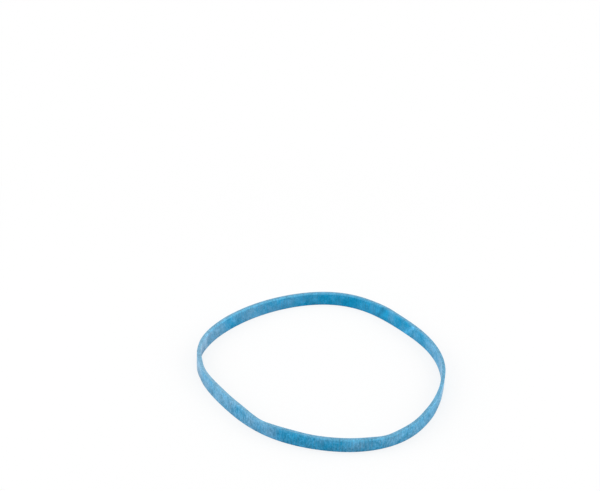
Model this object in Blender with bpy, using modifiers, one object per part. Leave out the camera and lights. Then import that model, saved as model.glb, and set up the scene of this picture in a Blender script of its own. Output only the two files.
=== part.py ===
"""A rubber band: one closed loop of thin flat strip, lying on a desk with its cut edge down.

The band is a ring sliced off a rubber tube, so it is one piece with a four-sided section. Units are
metres, +Z is up, and the origin is on the desk below the middle of the loop's box.
"""

import math

import bpy
import numpy as np

# What the band is cut to
FLAT_LENGTH = 0.089  # pressed flat, from fold to fold, which is half of the way round
STRIP_WIDTH = 0.0032  # between the two cut edges, upright here
THICKNESS = 0.0008  # of the tube's wall
EDGE_ROUNDING = 0.0001  # soft rubber leaves the knife with its corners slightly round

# How the loop lies. Seen from above it is a circle with low waves on it, left by the fold and by
# handling. Each wave is (waves round the loop, height, direction of a crest in degrees from +X).
LOOP_WAVES = (
    (2, 0.0018, -60.3),
    (3, 0.00072, 58),
    (4, 0.00046, -4.7),
    (5, 0.00032, 13.9),
    (6, 0.00016, 1),
    (7, 0.00006, -20),
    (8, 0.00004, -15.5),
)

# How the strip leans: its upper edge lies further out than its lower one by this much all round,
# and by the sum of these waves on top, so it leans out along one side and in along the other.
UPPER_EDGE_OUT = 0.00014
LEAN_WAVES = (
    (1, 0.00044, 69.4),
    (2, 0.00019, -64),
    (3, 0.0002, 26.2),
    (4, 0.00008, -26.8),
)

POINTS_ROUND = 144

RUBBER_BLUE = (0.07, 0.3, 0.55)
RUBBER_ROUGHNESS = 0.85


def waves(angle, terms):
    """The height of the waves, added up, in each of these directions from the middle of the loop."""
    return sum(height * np.cos(count * (angle - math.radians(crest))) for count, height, crest in terms)


def middle_line(angle, radius):
    """The strip's middle line seen from above: a circle of this radius with the waves on it."""
    reach = radius + waves(angle, LOOP_WAVES)
    return np.column_stack([reach * np.cos(angle), reach * np.sin(angle)])


def way_round(line):
    return np.linalg.norm(np.roll(line, -1, axis=0) - line, axis=1).sum()


def cut_to_length(angle):
    """The middle line whose way round is twice the flat length, found by correcting the radius."""
    radius = FLAT_LENGTH / math.pi
    for _ in range(8):
        radius += (2 * FLAT_LENGTH - way_round(middle_line(angle, radius))) / (2 * math.pi)
    return middle_line(angle, radius)


def outward(line):
    """The direction straight out of the loop at each point, square to the line there."""
    along = np.roll(line, -1, axis=0) - np.roll(line, 1, axis=0)
    out = np.column_stack([along[:, 1], -along[:, 0]])
    return out / np.linalg.norm(out, axis=1, keepdims=True)


def section_corners():
    """The section's corners at each point round the loop, in the order outer lower, outer upper,
    inner upper, inner lower. The section leans about its middle, and both cut edges stay level."""
    angle = np.linspace(0, 2 * math.pi, POINTS_ROUND, endpoint=False)
    line = cut_to_length(angle)
    out = outward(line)
    lean = UPPER_EDGE_OUT + waves(angle, LEAN_WAVES)
    corners = np.empty((POINTS_ROUND, 4, 3))
    for corner, (side, up) in enumerate(((1, 0), (1, 1), (-1, 1), (-1, 0))):
        away = side * THICKNESS / 2 + (up - 0.5) * lean
        corners[:, corner, :2] = line + out * away[:, None]
        corners[:, corner, 2] = up * STRIP_WIDTH
    plan = corners[..., :2]
    plan -= (plan.min(axis=(0, 1)) + plan.max(axis=(0, 1))) / 2
    return corners


def rubber():
    material = bpy.data.materials.new("blue_rubber")
    material.use_nodes = True
    shader = material.node_tree.nodes["Principled BSDF"]
    shader.inputs["Base Color"].default_value = (*RUBBER_BLUE, 1)
    shader.inputs["Roughness"].default_value = RUBBER_ROUGHNESS
    shader.inputs["Metallic"].default_value = 0
    return material


def rubber_band(collection):
    """A ring with four sides, whose corners are placed one section after another round the loop."""
    bpy.ops.mesh.primitive_torus_add(major_segments=POINTS_ROUND, minor_segments=4)
    band = bpy.context.object
    band.name = band.data.name = "rubber_band"
    band.data.vertices.foreach_set("co", section_corners().ravel())
    for other in band.users_collection:
        other.objects.unlink(band)
    collection.objects.link(band)
    band.data.materials.append(rubber())

    rounding = band.modifiers.new("rounded_edges", "BEVEL")
    rounding.width = EDGE_ROUNDING
    rounding.segments = 2
    rounding.limit_method = "ANGLE"
    rounding.angle_limit = math.radians(60)
    band.data.shade_smooth()
    band.data.set_sharp_from_angle(angle=math.radians(40))
    return band


def main():
    for obj in list(bpy.data.objects):
        bpy.data.objects.remove(obj, do_unlink=True)
    collection = bpy.data.collections.new("rubber_band")
    bpy.context.scene.collection.children.link(collection)
    rubber_band(collection)


main()
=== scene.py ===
"""A blue rubber band lying loose on a white studio floor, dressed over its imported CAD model.

The band is one closed strip of dyed and talc-dusted rubber. Its surface is worked out from two
numbers, the way round the loop and the way round the strip's section, with the extruder's ridges on
the walls and the knife's marks on the two cut faces. Lengths are metres in the CAD model's frame.
"""

import math

import bpy
import numpy as np
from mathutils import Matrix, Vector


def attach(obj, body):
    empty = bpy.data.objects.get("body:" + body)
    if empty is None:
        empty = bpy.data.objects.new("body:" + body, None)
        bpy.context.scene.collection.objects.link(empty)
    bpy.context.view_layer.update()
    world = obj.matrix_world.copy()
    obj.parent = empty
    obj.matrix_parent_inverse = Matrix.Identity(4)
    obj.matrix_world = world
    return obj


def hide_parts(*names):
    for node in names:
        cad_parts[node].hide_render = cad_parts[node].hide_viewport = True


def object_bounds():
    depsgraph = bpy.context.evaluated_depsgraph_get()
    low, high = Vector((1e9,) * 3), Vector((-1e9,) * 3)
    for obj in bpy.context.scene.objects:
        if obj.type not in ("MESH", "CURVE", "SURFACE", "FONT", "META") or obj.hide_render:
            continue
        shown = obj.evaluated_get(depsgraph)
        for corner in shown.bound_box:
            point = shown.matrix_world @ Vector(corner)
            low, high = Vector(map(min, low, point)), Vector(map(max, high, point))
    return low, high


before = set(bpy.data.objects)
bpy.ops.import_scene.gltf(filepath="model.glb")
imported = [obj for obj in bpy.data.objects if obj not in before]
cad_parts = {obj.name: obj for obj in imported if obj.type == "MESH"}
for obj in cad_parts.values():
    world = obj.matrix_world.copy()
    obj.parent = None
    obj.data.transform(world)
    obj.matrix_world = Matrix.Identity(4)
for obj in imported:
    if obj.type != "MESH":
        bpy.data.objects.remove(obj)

CAD_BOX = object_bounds()
CAD_NODE = "rubber_band"
BODY = "root"

bl_info = {
    "name": "Rubber band",
    "version": (1, 0, 0),
    "blender": (4, 5, 0),
    "location": "View3D > Sidebar > Rubber band",
    "description": "Makes a loose rubber band and the studio that it lies in",
    "category": "Object",
}

TURN = 2 * math.pi

# The shape in which the loop lies, from above: a circle with these waves on it. Each wave is
# (waves round the loop, height, direction of a crest in degrees from +X), as in the CAD model.
LOOP_WAVES = (
    (2, 0.0018, -60.3),
    (3, 0.00072, 58),
    (4, 0.00046, -4.7),
    (5, 0.00032, 13.9),
    (6, 0.00016, 1),
    (7, 0.00006, -20),
    (8, 0.00004, -15.5),
)

# How much further out the upper edge lies than the lower one, on top of what is even all round.
LEAN_WAVES = (
    (1, 0.00044, 69.4),
    (2, 0.00019, -64),
    (3, 0.0002, 26.2),
    (4, 0.00008, -26.8),
)

# The knife wanders a little on its way round the tube, so the strip isn't equally wide everywhere,
# and nor is the tube's wall equally thick. The heights of these waves are shares of the wander.
UPPER_CUT_WAVES = ((3, 0.5, 20), (7, 0.3, 110), (13, 0.2, 40))
LOWER_CUT_WAVES = ((4, 0.5, 80), (9, 0.3, 10), (17, 0.2, 150))
LOWER_CUT_SHARE = 0.5  # of how far the upper cut wanders
WALL_WAVES = ((2, 0.5, 130), (5, 0.3, 70), (11, 0.2, 30))

# Short places that differ, each as (way along the strip from +X, half its length, amount). The
# knife dipped at two of them. Each edge is pushed in or out by itself here and there, most at the
# left fold, where the strip is thicker and its lean turns over within a few millimetres.
UPPER_CUT_DIPS = ((0.1165, 0.0025, 0.0003), (0.1447, 0.0027, 0.00033))
UPPER_EDGE_IN = (
    (0.0252, 0.0032, -0.00016),
    (0.0838, 0.002, 0.00008),
    (0.089, 0.003, 0.00024),
    (0.0955, 0.004, -0.00006),
    (0.11, 0.0025, 0.00012),
    (0.1243, 0.0036, 0.00026),
    (0.157, 0.003, 0.0001),
    (0.17, 0.0025, 0.0001),
)
LOWER_EDGE_IN = (
    (0.0085, 0.0065, -0.0001),
    (0.0822, 0.002, -0.00011),
    (0.0925, 0.0025, 0.00012),
    (0.0975, 0.004, 0.00005),
    (0.1165, 0.0065, 0.0001),
    (0.144, 0.0065, 0.00015),
    (0.16, 0.003, -0.0001),
    (0.1695, 0.003, 0.0001),
)
SWELLINGS = ((0.0885, 0.003, 0.00022),)

# Creases that a fold left on the inner wall, each as (way along at mid height, how much further
# along its foot lies than its top, half its breadth, strength). Below 0 it is a furrow.
CREASES = ((0.0159, 0.0028, 0.0007, 1), (0.0265, 0.0014, 0.0005, -0.6))

# A pale band is painted along the walls' upper edge, a painted highlight of the edge catching the
# light from above: a little all round, and more at some places. It is full down to the first depth
# below the cut face and gone at the second.
PAINTED_HIGHLIGHT_DEPTHS = (0.00028, 0.00048)
PAINTED_HIGHLIGHT_ALL_ROUND = 0.15
OUTER_PAINTED_HIGHLIGHT_PLACES = ((0.139, 0.01, 0.9),)
INNER_PAINTED_HIGHLIGHT_PLACES = ((0.059, 0.027, 0.95),)

# The share of talc on each wall: its mean, its waves, and the places where more has stayed or
# where handling has rubbed it off. The cut faces hold it only round the left fold.
OUTER_TALC = (
    0.14,
    ((1, 0.045, 148), (2, 0.028, -21), (3, 0.04, -39)),
    ((0.174, 0.006, 0.05),),
)
INNER_TALC = (
    0.13,
    ((1, 0.066, -124), (2, 0.08, -14), (3, 0.026, -45)),
    ((0.006, 0.008, 0.025), (0.052, 0.007, -0.02), (0.07, 0.004, -0.05)),
)
CUT_TALC_PLACES = ((0.093, 0.02, 0.11),)

# How light the dye is, from 0 to 1: its mean, its waves, and one lighter place.
LIGHT_DYE = (0.38, ((1, 0.4, -10), (3, 0.12, 0)), ((0.099, 0.011, 0.5),))

# Where the dye leans to violet more or less than its patches do.
OUTER_TINGE_PLACES = ((0.121, 0.009, 0.1), (0.147, 0.012, -0.16))
INNER_TINGE_PLACES = (
    (0.0205, 0.003, -0.08),
    (0.0275, 0.003, 0.12),
    (0.048, 0.009, -0.16),
    (0.066, 0.006, -0.1),
)

STEPS_ROUND = 1600  # 0.11 mm each, so that the finest ridge has three
WALL_POINTS = 15  # of the section, up each wall
CUT_POINTS = 6  # across each cut face
CORNER_POINTS = 2  # round each corner
FINE_ANGLES = 7200  # in which the loop's length is measured
RADIUS_CORRECTIONS = 6

RIPPLE_SEED = 5
RIPPLES_PER_SET = 48
RIDGE_SPACING = (0.00035, 0.0009)  # between the extruder's ridges
KNIFE_MARK_SPACING = (0.0004, 0.0012)
KNIFE_SLANT = 0.7  # the marks run this much along the strip for each unit across the wall

BAKE_ROWS = 5
BAKE_MARGIN = 0.03  # of a row's height

# The rubber's patterns, each as (length of its features, finer layers in it, how strong each finer
# layer is). The streaks and the grain are too fine to show at their real size, so they are drawn
# as coarse as one pixel of a render shows.
PATTERNS = {
    "clouds": (0.005, 3, 0.55),
    "patches": (0.005, 2, 0.5),
    "drifts": (0.0045, 4, 0.65),
    "blotches": (0.0016, 3, 0.65),
    "streaks": (0.00035, 2, 0.6),
    "grain": (0.0003, 2, 0.7),
}
STREAK_LENGTHENING = 0.42  # heights are read at this share, so the streaks run across the strip
PATCHES_MOVED = (0.496, 0.272, 0.116)  # where in the noise the patches and drifts are read
OUTER_WALL_MOVED = (0.155, 0.085, 0.055)  # and how much further on for the outer wall

CLOUD_RANGE = (0.3, 0.7)  # of the pattern's values, from the deepest dye to the lightest
CLOUD_STRENGTH = 0.25
PATCH_RANGE = (0.48, 0.75)  # of the pattern's values, from no violet to the most
OUTER_PATCH_SHARE = 0.6  # of the inner wall's patches
INNER_STREAK_SHARE = 0.35  # of the outer wall's streaks
VEILING_TALC = (0.15, 0.22)  # from where talc starts to veil the streaks to where it veils most
VEILED_STREAK_SHARE = 0.6

# How much each pattern lets talc settle, where a drift counts 1, and the sums at which least and
# most of it settles.
SETTLING = {"ridge": -0.07, "grain": 0.5, "streaks": 0.4}
SETTLING_RANGE = (0.5, 1)
TALC_UNEVENNESS = 0.5  # of the talc's share
LEAST_UNEVENNESS = 0.05  # is added, so that a wall with little talc is patchy too

# How much each pattern lightens the colour, where a blotch counts 1, and the sums at which the
# colour is darkest and lightest.
TONING = {"streaks": 1, "grain": 0.6, "ridge": 0.12, "crease": 0.4}
TONING_RANGE = (0.3, 1.3)

CUT_FACE_RANGE = (0.3, 0.9)  # over the rounded corner, from the wall's colour to the cut face's
TALC_ROUGHNESS = 0.95
ROUGHENING_TALC = 0.3  # the share of talc at which the wall is as rough as talc
STREAK_RELIEF = 0.8  # of the grain's
RELIEF_STRENGTH = 0.6
RUBBER_IOR = 1.52  # of natural rubber
GLOSS = 0.06  # talc takes nearly all of the rubber's gloss
SHEEN_ROUGHNESS = 0.25

# The floor is white paper. The shade on it is kept up to the first distance from the middle of the
# band and fades out at the second. Real fibres wouldn't show, so coarser ones are drawn.
SHADE_REACH = (0.04, 0.14)
PAPER_FIBRE = 0.002 / 3
PAPER_TONES = (0.8, 0.84)

# Soft square lamps, each as (name, side, place, how far it is turned about +Y in degrees, level).
LAMPS = (
    ("top_lamp", 0.5, (0, 0.02, 0.5), 0, "top_level"),
    ("left_lamp", 0.3, (-0.36, 0, 0.19), -62, "side_level"),
    ("right_lamp", 0.3, (0.36, 0, 0.19), 62, "side_level"),
)
SENSOR_WIDTH = 36  # in millimetres
CAMERA_SEES = (0.005, 20)  # from the nearest to the farthest


def linear(hex_colour):
    """An sRGB hex colour as the linear red, green and blue that Blender's sockets take."""
    srgb = [int(hex_colour[at:at + 2], 16) / 255 for at in (1, 3, 5)]
    return tuple(c / 12.92 if c <= 0.04045 else ((c + 0.055) / 1.055) ** 2.4 for c in srgb)


# Sizes, finishes and studio values that a user would change

class BandSizes(bpy.types.PropertyGroup):
    flat_length: bpy.props.FloatProperty(
        name="Flat length", description="Of the band pressed flat, from fold to fold",
        default=0.089, unit="LENGTH", precision=4)
    strip_width: bpy.props.FloatProperty(
        name="Strip width", description="Between the two cut faces",
        default=CAD_BOX[1][2] - CAD_BOX[0][2], unit="LENGTH", precision=5)
    thickness: bpy.props.FloatProperty(
        name="Thickness", description="Of the tube's wall, and so of the strip",
        default=0.0008, unit="LENGTH", precision=5)
    edge_rounding: bpy.props.FloatProperty(
        name="Edge rounding", description="Radius of the corners that the knife leaves",
        default=0.0001, unit="LENGTH", precision=5)
    upper_edge_out: bpy.props.FloatProperty(
        name="Upper edge out", description="How much further out the upper edge lies all round",
        default=0.00014, unit="LENGTH", precision=5)
    bow: bpy.props.FloatProperty(
        name="Bow", description="How far the strip's middle lies inside its edges",
        default=0.000015, unit="LENGTH", precision=6)
    cut_wander: bpy.props.FloatProperty(
        name="Cut wander", description="How far the knife strays from the full strip width",
        default=0.00003, unit="LENGTH", precision=6)
    wall_wander: bpy.props.FloatProperty(
        name="Wall wander", description="How much thinner the wall is at its thinnest",
        default=0.00003, unit="LENGTH", precision=6)
    ridge_height: bpy.props.FloatProperty(
        name="Ridge height", description="Of the extruder's ridges, which cross the strip",
        default=0.000006, unit="LENGTH", precision=7)
    knife_mark_depth: bpy.props.FloatProperty(
        name="Knife mark depth", description="Of the slanting marks on the cut faces",
        default=0.000012, unit="LENGTH", precision=7)
    cut_hollow: bpy.props.FloatProperty(
        name="Cut hollow", description="How far the middle of a cut face lies below its edges",
        default=0.000015, unit="LENGTH", precision=6)
    crease_height: bpy.props.FloatProperty(
        name="Crease height", description="Of the creases that a fold left on the inner wall",
        default=0.00002, unit="LENGTH", precision=6)
    clearance: bpy.props.FloatProperty(
        name="Clearance", description="Kept inside the CAD model's box",
        default=0.000008, unit="LENGTH", precision=7)


class RubberFinish(bpy.types.PropertyGroup):
    deep_dye: bpy.props.FloatVectorProperty(
        name="Deep dye", description="Colour of the wall where no talc is left",
        default=linear("#0688b6"), subtype="COLOR", size=3, min=0, max=1)
    light_dye: bpy.props.FloatVectorProperty(
        name="Light dye", description="Colour of the wall where the dye is thinner",
        default=linear("#189ece"), subtype="COLOR", size=3, min=0, max=1)
    violet_tinge: bpy.props.FloatVectorProperty(
        name="Violet tinge", description="Colour of the patches where the dye leans to violet",
        default=linear("#7aaad1"), subtype="COLOR", size=3, min=0, max=1)
    violet_share: bpy.props.FloatProperty(
        name="Violet share", description="How strong the violet patches are",
        default=0.4, min=0, max=1, subtype="FACTOR")
    mottling: bpy.props.FloatProperty(
        name="Mottling", description="How much blotches, streaks and grain change the tone",
        default=0.45, min=0, max=1, subtype="FACTOR")
    talc: bpy.props.FloatVectorProperty(
        name="Talc", description="Colour of the talc that lies on the walls",
        default=linear("#e0ecf3"), subtype="COLOR", size=3, min=0, max=1)
    cut_face: bpy.props.FloatVectorProperty(
        name="Cut face", description="Colour of the knife-cut faces, where the filler shows",
        default=linear("#639bb9"), subtype="COLOR", size=3, min=0, max=1)
    # The colour and strength of the painted highlight: a pale band painted along the walls' upper
    # edges, where the edge catches the light from above.
    painted_highlight_colour: bpy.props.FloatVectorProperty(
        name="Worn edge", description="Colour of the walls' worn upper edges",
        default=linear("#66badf"), subtype="COLOR", size=3, min=0, max=1)
    painted_highlight_share: bpy.props.FloatProperty(
        name="Worn share", description="How strong the wear along the upper edges is",
        default=0.85, min=0, max=1, subtype="FACTOR")
    crease_share: bpy.props.FloatProperty(
        name="Crease share", description="How much talc a crease holds",
        default=0.03, min=0, max=1, subtype="FACTOR")
    # Painted shade: the colour is darkened from the top of the band down to its foot.
    foot_painted_shade: bpy.props.FloatProperty(
        name="Foot dirt", description="How much darker the wall is at its foot than at its top",
        default=0.17, min=0, max=1, subtype="FACTOR")
    roughness: bpy.props.FloatProperty(
        name="Roughness", description="Of the bare rubber wall",
        default=0.72, min=0, max=1, subtype="FACTOR")
    sheen: bpy.props.FloatProperty(
        name="Sheen", description="Pale haze that talc gives a wall seen edge-on",
        default=0.6, min=0, max=1, subtype="FACTOR")
    grain_depth: bpy.props.FloatProperty(
        name="Grain depth", description="Of the rubber's fine grain",
        default=0.00001, unit="LENGTH", precision=7)


class Studio(bpy.types.PropertyGroup):
    floor_colour: bpy.props.FloatVectorProperty(
        name="Floor colour", description="Colour of the floor and of what lies behind it",
        default=linear("#ffffff"), subtype="COLOR", size=3, min=0, max=1)
    floor_size: bpy.props.FloatProperty(
        name="Floor size", description="Side of the square floor", default=4, unit="LENGTH")
    fill_level: bpy.props.FloatProperty(
        name="Fill level", description="Light from all round, where 1 is white",
        default=0.7, min=0)
    top_level: bpy.props.FloatProperty(
        name="Top level", description="Brightness of the lamp above", default=0.95, min=0)
    side_level: bpy.props.FloatProperty(
        name="Side level", description="Brightness of the lamps at the left and right",
        default=2.15, min=0)
    shadow_share: bpy.props.FloatProperty(
        name="Shadow share", description="How much of the real floor's shade the camera sees",
        default=0.25, min=0, max=1, subtype="FACTOR")
    camera_place: bpy.props.FloatVectorProperty(
        name="Camera place", description="Where the camera stands",
        default=(-0.0045, -0.21008, 0.14404), subtype="TRANSLATION", size=3, precision=5)
    camera_pitch: bpy.props.FloatProperty(
        name="Camera pitch", description="How far the camera looks down",
        default=math.radians(28), unit="ROTATION")
    lens: bpy.props.FloatProperty(
        name="Lens", description="Focal length on a 36 mm sensor", default=66, unit="CAMERA")


# The band's surface

def waves(angle, terms):
    """The sum over the terms of height times cos(count times (angle - crest)).

    Returns it with its slope by the angle.
    """
    count, height, crest = np.array(terms, float).T[:, :, None]
    phase = count * (angle - np.radians(crest))
    return (height * np.cos(phase)).sum(axis=0), -(height * count * np.sin(phase)).sum(axis=0)


def wave_column(angle, terms):
    """The waves' sum at each step round the loop, as a column beside the section's points."""
    return waves(angle, terms)[0][:, None]


def from_zero(values):
    """Values between -1 and 1 as values between 0 and 1: half of one plus the value."""
    return 0.5 + 0.5 * values


def loop_frame(sizes):
    """The strip's middle line from above, in even steps of its length.

    The line is reach(angle) times the direction of the angle, where the reach is the radius plus
    the loop's waves. The radius is corrected until the way round is twice the flat length. Outward
    is the line's tangent turned a quarter turn clockwise.
    Returns the angle, the line and the outward direction at each step.
    """
    way = 2 * sizes.flat_length
    angle = np.linspace(0, TURN, FINE_ANGLES + 1)
    bend, _ = waves(angle, LOOP_WAVES)
    radius = way / TURN
    for _ in range(RADIUS_CORRECTIONS):
        line = (radius + bend)[:, None] * np.column_stack([np.cos(angle), np.sin(angle)])
        travelled = np.append(0, np.cumsum(np.linalg.norm(np.diff(line, axis=0), axis=1)))
        radius += (way - travelled[-1]) / TURN
    even = np.linspace(0, travelled[-1], STEPS_ROUND, endpoint=False)
    angle = np.interp(even, travelled, angle)
    bend, slope = waves(angle, LOOP_WAVES)
    reach = radius + bend
    cosine, sine = np.cos(angle), np.sin(angle)
    line = np.column_stack([reach * cosine, reach * sine])
    outward = np.column_stack([reach * cosine + slope * sine, reach * sine - slope * cosine])
    return angle, line, outward / np.linalg.norm(outward, axis=1, keepdims=True)


def section_outline(sizes):
    """One turn round the strip's section, from the foot of the outer wall upwards.

    The section is a rectangle with quarter-circle corners: the corner radius times the direction
    straight out of the surface, added to a point that runs round the rectangle of the corners'
    centres. Along each side the points follow half of one minus a cosine, so they crowd towards
    the corners.
    Returns the points as (across, up) from the section's middle, and those directions.
    """
    wall_place = sizes.thickness / 2 - sizes.clearance - sizes.ridge_height
    centre = np.array([wall_place, sizes.strip_width / 2]) - sizes.edge_rounding
    centres = np.array([(1, -1), (1, 1), (-1, 1), (-1, -1)]) * centre
    corner = np.arange(1, CORNER_POINTS + 1) / (CORNER_POINTS + 1)
    points, directions = [], []
    for side, count in enumerate((WALL_POINTS, CUT_POINTS, WALL_POINTS, CUT_POINTS)):
        share = from_zero(-np.cos(np.linspace(0, math.pi, count)))[:, None]
        start, end = centres[side], centres[(side + 1) % 4]
        points += [start + (end - start) * share, np.repeat(end[None], CORNER_POINTS, axis=0)]
        directions += [np.full(count, side / 4), (side + corner) / 4]
    directions = TURN * np.concatenate(directions)
    directions = np.column_stack([np.cos(directions), np.sin(directions)])
    return np.concatenate(points) + sizes.edge_rounding * directions, directions


def bumps(along, way, places):
    """The sum of amount times exp(-(distance / half length) squared), round the closed strip."""
    total = np.zeros_like(along)
    for middle, half, amount in places:
        distance = (along - middle + way / 2) % way - way / 2
        total += amount * np.exp(-(distance / half) ** 2)
    return total


def ripples(random, way, spacing, places):
    """Fine waves of mixed spacing along the strip, from about -1 to 1, which meet at the seam.

    It is a sum of cosines with random phases. Each has a whole number of waves round the loop, and
    the spacings are spread evenly over the given range.
    """
    count = np.round(way / random.uniform(*spacing, RIPPLES_PER_SET))
    phase = random.uniform(0, TURN, RIPPLES_PER_SET)
    total = np.zeros_like(places)
    for waves_round, start in zip(count, phase):
        total += np.cos(waves_round * TURN * places / way + start)
    return total / math.sqrt(2 * RIPPLES_PER_SET)


def relief(sizes, along, height, section, facing):
    """How far the surface stands out of the plain section, with its ridges and its creases.

    The ridges and creases act on the walls, and the knife marks and the hollow on the cut faces,
    by the square of the facing's part in that direction. The knife marks are ripples read at the
    way along plus the slant times the way across. The hollow is one minus the square of the way
    across from -1 to 1. A crease is a bump across the strip whose middle shifts with the height.
    """
    random = np.random.default_rng(RIPPLE_SEED)
    way = 2 * sizes.flat_length
    wall, cut = facing[:, 0] ** 2, facing[:, 1] ** 2
    outer = facing[:, 0] > 0
    outer_ridges = ripples(random, way, RIDGE_SPACING, along)
    inner_ridges = ripples(random, way, RIDGE_SPACING, along)
    ridges = np.where(outer, outer_ridges, inner_ridges)
    marks = ripples(random, way, KNIFE_MARK_SPACING, along + KNIFE_SLANT * section[:, 0])
    push = sizes.ridge_height * wall * ridges.clip(-1, 1)
    push = push - sizes.knife_mark_depth * cut * from_zero(marks.clip(-1, 1))
    push = push - sizes.cut_hollow * cut * (1 - (2 * section[:, 0] / sizes.thickness) ** 2)

    crease = np.zeros_like(push)
    for middle, slant, half, strength in CREASES:
        shifted = along + slant * (height - 0.5)
        crease += bumps(shifted, way, ((middle, half, strength),))
    crease = crease * wall * ~outer
    return push + sizes.crease_height * crease, ridges * wall, crease


def slow_change(angle, along, way, mean, terms, places):
    """A value that changes slowly round the loop: its mean plus its waves plus its bumps."""
    return mean + wave_column(angle, terms) + bumps(along, way, places)


def highlight_talc_and_dye(angle, along, way, outer):
    """The painted edge highlight, the talc and the dye round the loop, for the outer or the inner
    wall.
    """
    painted_highlight = np.where(outer, bumps(along, way, OUTER_PAINTED_HIGHLIGHT_PLACES),
                    bumps(along, way, INNER_PAINTED_HIGHLIGHT_PLACES))
    talc = np.where(outer, slow_change(angle, along, way, *OUTER_TALC),
                    slow_change(angle, along, way, *INNER_TALC))
    tinge = np.where(outer, bumps(along, way, OUTER_TINGE_PLACES),
                     bumps(along, way, INNER_TINGE_PLACES))
    return {
        "painted_highlight": PAINTED_HIGHLIGHT_ALL_ROUND + painted_highlight,
        "talc": talc.clip(0, 1),
        "cut_talc": bumps(along, way, CUT_TALC_PLACES),
        "light_dye": slow_change(angle, along, way, *LIGHT_DYE),
        "tinge": tinge,
    }


def band_surface(sizes):
    """The band as a grid: the way round the loop in its rows, round the section in its columns.

    A point is the middle line, plus outward times (across, plus the lean at its height, less the
    bow, less what its edge is pushed in), plus its height. Across shrinks with the wall's wander
    and grows with its swelling. The height runs from the wandering lower cut to the upper one,
    which wanders and dips. The bow is one minus the square of the height from -1 to 1. What an
    edge is pushed in grows with the square of the way from the other edge. The relief moves each
    point along the section's own direction.
    Returns the points and what the material needs to know at each of them.
    """
    angle, line, outward = loop_frame(sizes)
    section, facing = section_outline(sizes)
    way = 2 * sizes.flat_length
    along = np.linspace(0, way, STEPS_ROUND, endpoint=False)[:, None]
    height = section[:, 1] / sizes.strip_width + 0.5
    push, ridge, crease = relief(sizes, along, height, section, facing)

    thinner = sizes.wall_wander * from_zero(wave_column(angle, WALL_WAVES))
    thinner = thinner - bumps(along, way, SWELLINGS) * height
    across = section[:, 0] * (1 - thinner / sizes.thickness) + push * facing[:, 0]
    dip = sizes.cut_wander * from_zero(wave_column(angle, UPPER_CUT_WAVES))
    dip = dip + bumps(along, way, UPPER_CUT_DIPS)
    rise = LOWER_CUT_SHARE * sizes.cut_wander * from_zero(wave_column(angle, LOWER_CUT_WAVES))
    up = rise + height * (sizes.strip_width - dip - rise) + push * facing[:, 1]
    lean = sizes.upper_edge_out + wave_column(angle, LEAN_WAVES)
    away = across + (height - 0.5) * lean - sizes.bow * (1 - (2 * height - 1) ** 2)
    away = away - bumps(along, way, UPPER_EDGE_IN) * height ** 2
    away = away - bumps(along, way, LOWER_EDGE_IN) * (1 - height) ** 2

    full = line + outward * (sizes.thickness + np.abs(lean)) / 2
    middle = (np.array(CAD_BOX[0]) + np.array(CAD_BOX[1]))[:2] / 2
    line = line + middle - (full.min(axis=0) + full.max(axis=0)) / 2
    points = np.empty((STEPS_ROUND, len(section), 3))
    points[..., :2] = line[:, None] + outward[:, None] * away[..., None]
    points[..., 2] = up - up.min()

    traits = highlight_talc_and_dye(angle, along, way, facing[:, 0] > 0)
    # The painted highlight is kept to the walls.
    traits["painted_highlight"] = traits["painted_highlight"] * facing[:, 0] ** 2
    traits |= {
        "outer": facing[:, 0] > 0,
        "cut": facing[:, 1] ** 2,
        "below_cut": (1 - height) * sizes.strip_width,
        "ridge": ridge,
        "crease": crease,
    }
    return points, {name: np.broadcast_to(values, up.shape) for name, values in traits.items()}


def bake_layout(points):
    """The place of each face's corners on the square in which the band's colour is stored.

    The strip is unrolled, cut into equal lengths and laid in rows: across is the share of a length,
    and up is the share of the way round the section, kept clear of the next row by a margin.
    """
    rows, columns = points.shape[:2]
    round_section = np.linalg.norm(np.roll(points[0], -1, axis=0) - points[0], axis=1)
    round_section = np.append(0, np.cumsum(round_section)) / round_section.sum()
    steps = rows // BAKE_ROWS
    row, column = np.meshgrid(np.arange(rows), np.arange(columns), indexing="ij")
    across = np.stack([row % steps, row % steps + 1, row % steps + 1, row % steps], axis=-1) / steps
    up = np.stack([round_section[column], round_section[column],
                   round_section[column + 1], round_section[column + 1]], axis=-1)
    up = (row // steps)[..., None] + BAKE_MARGIN + (1 - 2 * BAKE_MARGIN) * up
    across = BAKE_MARGIN / BAKE_ROWS + (1 - 2 * BAKE_MARGIN / BAKE_ROWS) * across
    return np.stack([across, up / BAKE_ROWS], axis=-1).reshape(-1, 2)


def closed_both_ways(rows, columns):
    """Four-sided faces of a grid that is closed along its rows and its columns, facing outwards."""
    row, column = np.meshgrid(np.arange(rows), np.arange(columns), indexing="ij")
    next_row, next_column = (row + 1) % rows, (column + 1) % columns
    faces = np.stack([row * columns + column, next_row * columns + column,
                      next_row * columns + next_column, row * columns + next_column], axis=-1)
    return faces.reshape(-1, 4)


def mesh_object(name, points, faces):
    """An object at the origin with this mesh."""
    mesh = bpy.data.meshes.new(name)
    mesh.from_pydata(points.reshape(-1, 3), [], faces)
    mesh.validate()
    mesh.update()
    made = bpy.data.objects.new(name, mesh)
    bpy.context.scene.collection.objects.link(made)
    return made


def give_trait(piece, name, values):
    """Puts one number per vertex on the mesh, for its material to read."""
    attribute = piece.data.attributes.new(name, "FLOAT", "POINT")
    attribute.data.foreach_set("value", np.ascontiguousarray(values, dtype=np.float32).ravel())


# Materials

def add_node(tree, kind, inputs=None, **settings):
    """Adds a node. Each input is named or numbered: a socket is linked to it, a value is set on it.

    A Mix node of colours takes its share as input 0 and the two colours as 6 and 7, and gives the
    mixed one as output 2.
    """
    node = tree.nodes.new(kind)
    for name, value in settings.items():
        setattr(node, name, value)
    for key, value in (inputs or {}).items():
        if isinstance(value, bpy.types.NodeSocket):
            tree.links.new(value, node.inputs[key])
        else:
            node.inputs[key].default_value = value
    return node


def with_alpha(colour):
    """The colour as a node's socket takes it, opaque."""
    return (*colour, 1)


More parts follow.
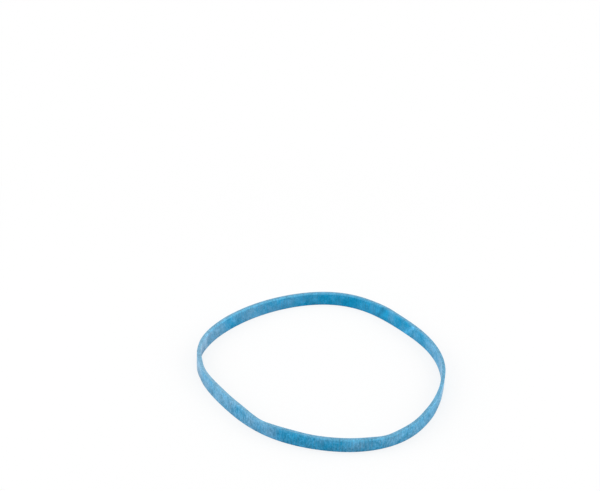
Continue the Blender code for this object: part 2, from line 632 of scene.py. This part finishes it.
def rubber_material(finish, traits):
    """Vulcanised natural rubber, dyed through, extruded as a tube, dusted with talc and knife-cut.

    To the eye that is a matt, strongly coloured wall, mottled and finely lined across the strip,
    with a patchy pale veil of talc that is stronger edge-on, and paler, grainy cut faces.
    """
    material = bpy.data.materials.new("dyed_rubber_extruded_talc_dusted")
    material.use_nodes = True
    tree = material.node_tree
    shader = tree.nodes["Principled BSDF"]
    place = add_node(tree, "ShaderNodeTexCoord").outputs["Object"]
    trait = {name: add_node(tree, "ShaderNodeAttribute", attribute_name=name).outputs["Fac"]
             for name in traits}

    # The two walls have patches of their own, as each was touched and dusted by itself. The streaks
    # are noise that is stretched along the height.
    patches_at = add_node(tree, "ShaderNodeMapping", {"Vector": place, "Location": PATCHES_MOVED})
    further_on = add_node(tree, "ShaderNodeVectorMath",
                          {0: OUTER_WALL_MOVED, "Scale": trait["outer"]}, operation="SCALE")
    patches_at = add_node(tree, "ShaderNodeVectorMath",
                          {0: patches_at.outputs[0], 1: further_on.outputs[0]})
    streaks_at = add_node(tree, "ShaderNodeMapping",
                          {"Vector": place, "Scale": (1, 1, STREAK_LENGTHENING)})
    moved = {"patches": patches_at.outputs[0], "drifts": patches_at.outputs[0],
             "streaks": streaks_at.outputs[0]}
    noise = {name: add_node(tree, "ShaderNodeTexNoise",
                            {"Vector": moved.get(name, place), "Scale": 1 / length,
                             "Detail": layers, "Roughness": strength}).outputs["Fac"]
             for name, (length, layers, strength) in PATTERNS.items()}

    # The dye is deeper or lighter in clouds, on top of its slow change round the loop
    cloud = add_node(tree, "ShaderNodeMapRange",
                     {"Value": noise["clouds"], "From Min": CLOUD_RANGE[0],
                      "From Max": CLOUD_RANGE[1], "To Min": -CLOUD_STRENGTH,
                      "To Max": CLOUD_STRENGTH})
    light_share = add_node(tree, "ShaderNodeMath", {0: cloud.outputs[0], 1: trait["light_dye"]},
                           operation="ADD", use_clamp=True)
    dye = add_node(tree, "ShaderNodeMix",
                   {0: light_share.outputs[0], 6: with_alpha(finish.deep_dye),
                    7: with_alpha(finish.light_dye)}, data_type="RGBA")

    # Patches where the dye leans to violet, fainter on the outer wall
    violet_patch = add_node(tree, "ShaderNodeMapRange",
                            {"Value": noise["patches"], "From Min": PATCH_RANGE[0],
                             "From Max": PATCH_RANGE[1], "To Max": finish.violet_share})
    on_this_wall = add_node(tree, "ShaderNodeMapRange",
                            {"Value": trait["outer"], "To Min": 1, "To Max": OUTER_PATCH_SHARE})
    violet_share = add_node(tree, "ShaderNodeMath",
                            {0: violet_patch.outputs[0], 1: on_this_wall.outputs[0],
                             2: trait["tinge"]}, operation="MULTIPLY_ADD", use_clamp=True)

    # Streaks across the whole strip. The outer wall ran along the extruder's die and has more of
    # them, and thick talc veils them.
    streaks = add_node(tree, "ShaderNodeMath", {0: noise["streaks"], 1: 0.5}, operation="SUBTRACT")
    on_this_wall = add_node(tree, "ShaderNodeMapRange",
                            {"Value": trait["outer"], "To Min": INNER_STREAK_SHARE, "To Max": 1})
    unveiled = add_node(tree, "ShaderNodeMapRange",
                        {"Value": trait["talc"], "From Min": VEILING_TALC[0],
                         "From Max": VEILING_TALC[1], "To Min": 1, "To Max": VEILED_STREAK_SHARE})
    for share in (on_this_wall, unveiled):
        streaks = add_node(tree, "ShaderNodeMath", {0: streaks.outputs[0], 1: share.outputs[0]},
                           operation="MULTIPLY")
    pattern = {**trait, **noise, "streaks": streaks.outputs[0]}

    # The talc drifts in patches, and lies in the hollows of the grain and between the ridges
    settled = pattern["drifts"]
    for name, amount in SETTLING.items():
        settled = add_node(tree, "ShaderNodeMath", {0: pattern[name], 1: amount, 2: settled},
                           operation="MULTIPLY_ADD").outputs[0]
    settled = add_node(tree, "ShaderNodeMapRange",
                       {"Value": settled, "From Min": SETTLING_RANGE[0],
                        "From Max": SETTLING_RANGE[1], "To Min": -1, "To Max": 1})
    unevenness = add_node(tree, "ShaderNodeMath",
                          {0: trait["talc"], 1: TALC_UNEVENNESS, 2: LEAST_UNEVENNESS},
                          operation="MULTIPLY_ADD")
    talc = add_node(tree, "ShaderNodeMath",
                    {0: settled.outputs[0], 1: unevenness.outputs[0], 2: trait["talc"]},
                    operation="MULTIPLY_ADD", use_clamp=True)
    talc_share = add_node(tree, "ShaderNodeMath",
                          {0: trait["crease"], 1: finish.crease_share, 2: talc.outputs[0]},
                          operation="MULTIPLY_ADD", use_clamp=True)

    # The wall's upper edge gets a painted highlight: a pale band where the edge catches the light
    # from above
    near_cut = add_node(tree, "ShaderNodeMapRange",
                        {"Value": trait["below_cut"], "From Min": PAINTED_HIGHLIGHT_DEPTHS[0],
                         "From Max": PAINTED_HIGHLIGHT_DEPTHS[1], "To Min": finish.painted_highlight_share, "To Max": 0},
                        interpolation_type="SMOOTHSTEP")
    painted_highlight_share = add_node(tree, "ShaderNodeMath", {0: trait["painted_highlight"], 1: near_cut.outputs[0]},
                          operation="MULTIPLY", use_clamp=True)

    # On the wall the tinge, the talc and the painted edge highlight lie over the dye, and the cut
    # face has its own colour, with a little talc
    wall = dye
    for share, over in ((violet_share, finish.violet_tinge), (talc_share, finish.talc),
                        (painted_highlight_share, finish.painted_highlight_colour)):
        wall = add_node(tree, "ShaderNodeMix",
                        {0: share.outputs[0], 6: wall.outputs[2], 7: with_alpha(over)},
                        data_type="RGBA")
    cut_face = add_node(tree, "ShaderNodeMix",
                        {0: trait["cut_talc"], 6: with_alpha(finish.cut_face),
                         7: with_alpha(finish.talc)}, data_type="RGBA")
    cut_share = add_node(tree, "ShaderNodeMapRange",
                         {"Value": trait["cut"], "From Min": CUT_FACE_RANGE[0],
                          "From Max": CUT_FACE_RANGE[1]}, interpolation_type="SMOOTHSTEP")
    colour = add_node(tree, "ShaderNodeMix",
                      {0: cut_share.outputs[0], 6: wall.outputs[2], 7: cut_face.outputs[2]},
                      data_type="RGBA")

    # Blotches, streaks, ridges and grain darken and lighten it, and painted shade makes the foot
    # darker than the top
    tone = pattern["blotches"]
    for name, amount in TONING.items():
        tone = add_node(tree, "ShaderNodeMath", {0: pattern[name], 1: amount, 2: tone},
                        operation="MULTIPLY_ADD").outputs[0]
    tone = add_node(tree, "ShaderNodeMapRange",
                    {"Value": tone, "From Min": TONING_RANGE[0], "From Max": TONING_RANGE[1],
                     "To Min": 1 - finish.mottling, "To Max": 1 + finish.mottling})
    height = add_node(tree, "ShaderNodeSeparateXYZ", {0: place})
    painted_foot_shade = add_node(tree, "ShaderNodeMapRange",
                    {"Value": height.outputs["Z"], "From Max": CAD_BOX[1][2],
                     "To Min": 1 - finish.foot_painted_shade, "To Max": 1})
    tone = add_node(tree, "ShaderNodeMath", {0: tone.outputs[0], 1: painted_foot_shade.outputs[0]},
                    operation="MULTIPLY")
    toned = add_node(tree, "ShaderNodeMix", {0: 1, 6: colour.outputs[2], 7: tone.outputs[0]},
                     data_type="RGBA", blend_type="MULTIPLY")
    tree.links.new(toned.outputs[2], shader.inputs["Base Color"])

    rough = add_node(tree, "ShaderNodeMapRange",
                     {"Value": talc.outputs[0], "From Max": ROUGHENING_TALC,
                      "To Min": finish.roughness, "To Max": TALC_ROUGHNESS})
    tree.links.new(rough.outputs[0], shader.inputs["Roughness"])
    raised = add_node(tree, "ShaderNodeMath",
                      {0: pattern["streaks"], 1: STREAK_RELIEF, 2: pattern["grain"]},
                      operation="MULTIPLY_ADD")
    bump = add_node(tree, "ShaderNodeBump",
                    {"Strength": RELIEF_STRENGTH, "Distance": finish.grain_depth,
                     "Height": raised.outputs[0]})
    tree.links.new(bump.outputs["Normal"], shader.inputs["Normal"])

    shader.inputs["IOR"].default_value = RUBBER_IOR
    shader.inputs["Specular IOR Level"].default_value = GLOSS
    shader.inputs["Sheen Weight"].default_value = finish.sheen
    shader.inputs["Sheen Roughness"].default_value = SHEEN_ROUGHNESS
    return material


def background_ray(tree):
    """1 where the camera sees the background, straight or in gloss and glass, and otherwise 0."""
    path = add_node(tree, "ShaderNodeLightPath")
    seen = path.outputs["Is Camera Ray"]
    for ray in ("Is Glossy Ray", "Is Transmission Ray"):
        seen = add_node(tree, "ShaderNodeMath", {0: seen, 1: path.outputs[ray]},
                        operation="MAXIMUM").outputs[0]
    return seen


def floor_material(studio):
    """White seamless paper, matt and even: the eye gets plain white with the object's soft shade.

    The camera sees it mostly as pure white light, with a share of its real shade near the object.
    """
    material = bpy.data.materials.new("white_paper_rolled_matt")
    material.use_nodes = True
    tree = material.node_tree
    tree.nodes.clear()
    place = add_node(tree, "ShaderNodeTexCoord").outputs["Object"]
    away = add_node(tree, "ShaderNodeVectorMath", {0: place}, operation="LENGTH")
    whitened = add_node(tree, "ShaderNodeMapRange",
                        {"Value": away.outputs["Value"], "From Min": SHADE_REACH[0],
                         "From Max": SHADE_REACH[1], "To Min": 1 - studio.shadow_share,
                         "To Max": 1}, interpolation_type="SMOOTHSTEP")
    white_share = add_node(tree, "ShaderNodeMath",
                           {0: background_ray(tree), 1: whitened.outputs[0]},
                           operation="MULTIPLY")
    fibres = add_node(tree, "ShaderNodeTexNoise",
                      {"Vector": place, "Scale": 1 / PAPER_FIBRE, "Detail": 2})
    tone = add_node(tree, "ShaderNodeMapRange",
                    {"Value": fibres.outputs["Fac"], "To Min": PAPER_TONES[0],
                     "To Max": PAPER_TONES[1]})
    paper = add_node(tree, "ShaderNodeBsdfDiffuse", {"Color": tone.outputs[0]})
    white = add_node(tree, "ShaderNodeEmission", {"Color": with_alpha(studio.floor_colour)})
    mixed = add_node(tree, "ShaderNodeMixShader",
                     {0: white_share.outputs[0], 1: paper.outputs[0], 2: white.outputs[0]})
    add_node(tree, "ShaderNodeOutputMaterial", {"Surface": mixed.outputs[0]})
    return material


# Operators

class RUBBERBAND_OT_band(bpy.types.Operator):
    """Makes the band's real surface and shows it in place of the CAD solid"""
    bl_idname = "rubberband.band"
    bl_label = "Make the band"

    def execute(self, context):
        points, traits = band_surface(context.scene.band_sizes)
        rows, columns = points.shape[:2]
        band = mesh_object("blue_band", points, closed_both_ways(rows, columns))
        for name, values in traits.items():
            give_trait(band, name, values)
        layout = band.data.uv_layers.new(name="OFBake")
        layout.data.foreach_set("uv", bake_layout(points).astype(np.float32).ravel())
        band.data.shade_smooth()
        band.data.materials.append(rubber_material(context.scene.rubber_finish, traits))
        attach(band, BODY)
        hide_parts(CAD_NODE)
        return {"FINISHED"}


class RUBBERBAND_OT_studio(bpy.types.Operator):
    """Makes the floor, the light and the camera"""
    bl_idname = "rubberband.studio"
    bl_label = "Make the studio"

    def execute(self, context):
        studio = context.scene.studio
        half = studio.floor_size / 2
        corners = half * np.array([(-1, -1, 0), (1, -1, 0), (1, 1, 0), (-1, 1, 0)])
        floor = mesh_object("floor", corners, np.array([[0, 1, 2, 3]]))
        floor.data.materials.append(floor_material(studio))
        self.light_world(context.scene, studio)
        for name, side, place, lean, level in LAMPS:
            self.add_lamp(name, side, place, math.radians(lean), getattr(studio, level))
        self.add_camera(context.scene, studio)
        context.scene.view_settings.view_transform = "Standard"
        return {"FINISHED"}

    def light_world(self, scene, studio):
        """White for the camera and in reflections, and an even fill for the object's shading."""
        world = bpy.data.worlds.new("studio")
        world.use_nodes = True
        scene.world = world
        tree = world.node_tree
        tree.nodes.clear()
        level = add_node(tree, "ShaderNodeMapRange",
                         {"Value": background_ray(tree), "To Min": studio.fill_level, "To Max": 1})
        light = add_node(tree, "ShaderNodeBackground",
                         {"Color": with_alpha(studio.floor_colour), "Strength": level.outputs[0]})
        add_node(tree, "ShaderNodeOutputWorld", {"Surface": light.outputs[0]})

    def add_lamp(self, name, side, place, lean, level):
        """A square soft lamp whose face is as bright as the level says, where 1 is white.

        Its power is the level times pi times its area.
        """
        data = bpy.data.lights.new(name, "AREA")
        data.shape = "SQUARE"
        data.size = side
        data.energy = level * math.pi * side * side
        lamp = bpy.data.objects.new(name, data)
        lamp.location = place
        lamp.rotation_euler = (0, lean, 0)
        lamp.visible_camera = False
        bpy.context.scene.collection.objects.link(lamp)

    def add_camera(self, scene, studio):
        """A camera that looks along +Y and down by its pitch, with no roll."""
        data = bpy.data.cameras.new("camera")
        data.sensor_width = SENSOR_WIDTH
        data.lens = studio.lens
        data.clip_start, data.clip_end = CAMERA_SEES
        camera = bpy.data.objects.new("camera", data)
        camera.location = studio.camera_place
        camera.rotation_euler = (math.radians(90) - studio.camera_pitch, 0, 0)
        scene.collection.objects.link(camera)
        scene.camera = camera


class RUBBERBAND_PT_sidebar(bpy.types.Panel):
    """Lists the sizes and colours, and what can be made"""
    bl_label = "Rubber band"
    bl_idname = "RUBBERBAND_PT_sidebar"
    bl_space_type = "VIEW_3D"
    bl_region_type = "UI"
    bl_category = "Rubber band"

    def draw(self, context):
        for group in ("band_sizes", "rubber_finish", "studio"):
            box = self.layout.box()
            settings = getattr(context.scene, group)
            for name in settings.__annotations__:
                box.prop(settings, name)
        self.layout.operator("rubberband.band")
        self.layout.operator("rubberband.studio")


CLASSES = (BandSizes, RubberFinish, Studio,
           RUBBERBAND_OT_band, RUBBERBAND_OT_studio, RUBBERBAND_PT_sidebar)


def register():
    for each in CLASSES:
        bpy.utils.register_class(each)
    bpy.types.Scene.band_sizes = bpy.props.PointerProperty(type=BandSizes)
    bpy.types.Scene.rubber_finish = bpy.props.PointerProperty(type=RubberFinish)
    bpy.types.Scene.studio = bpy.props.PointerProperty(type=Studio)


def unregister():
    del bpy.types.Scene.studio, bpy.types.Scene.rubber_finish, bpy.types.Scene.band_sizes
    for each in reversed(CLASSES):
        bpy.utils.unregister_class(each)


def main():
    register()
    bpy.ops.rubberband.band()
    bpy.ops.rubberband.studio()


if __name__ == "__main__":
    main()
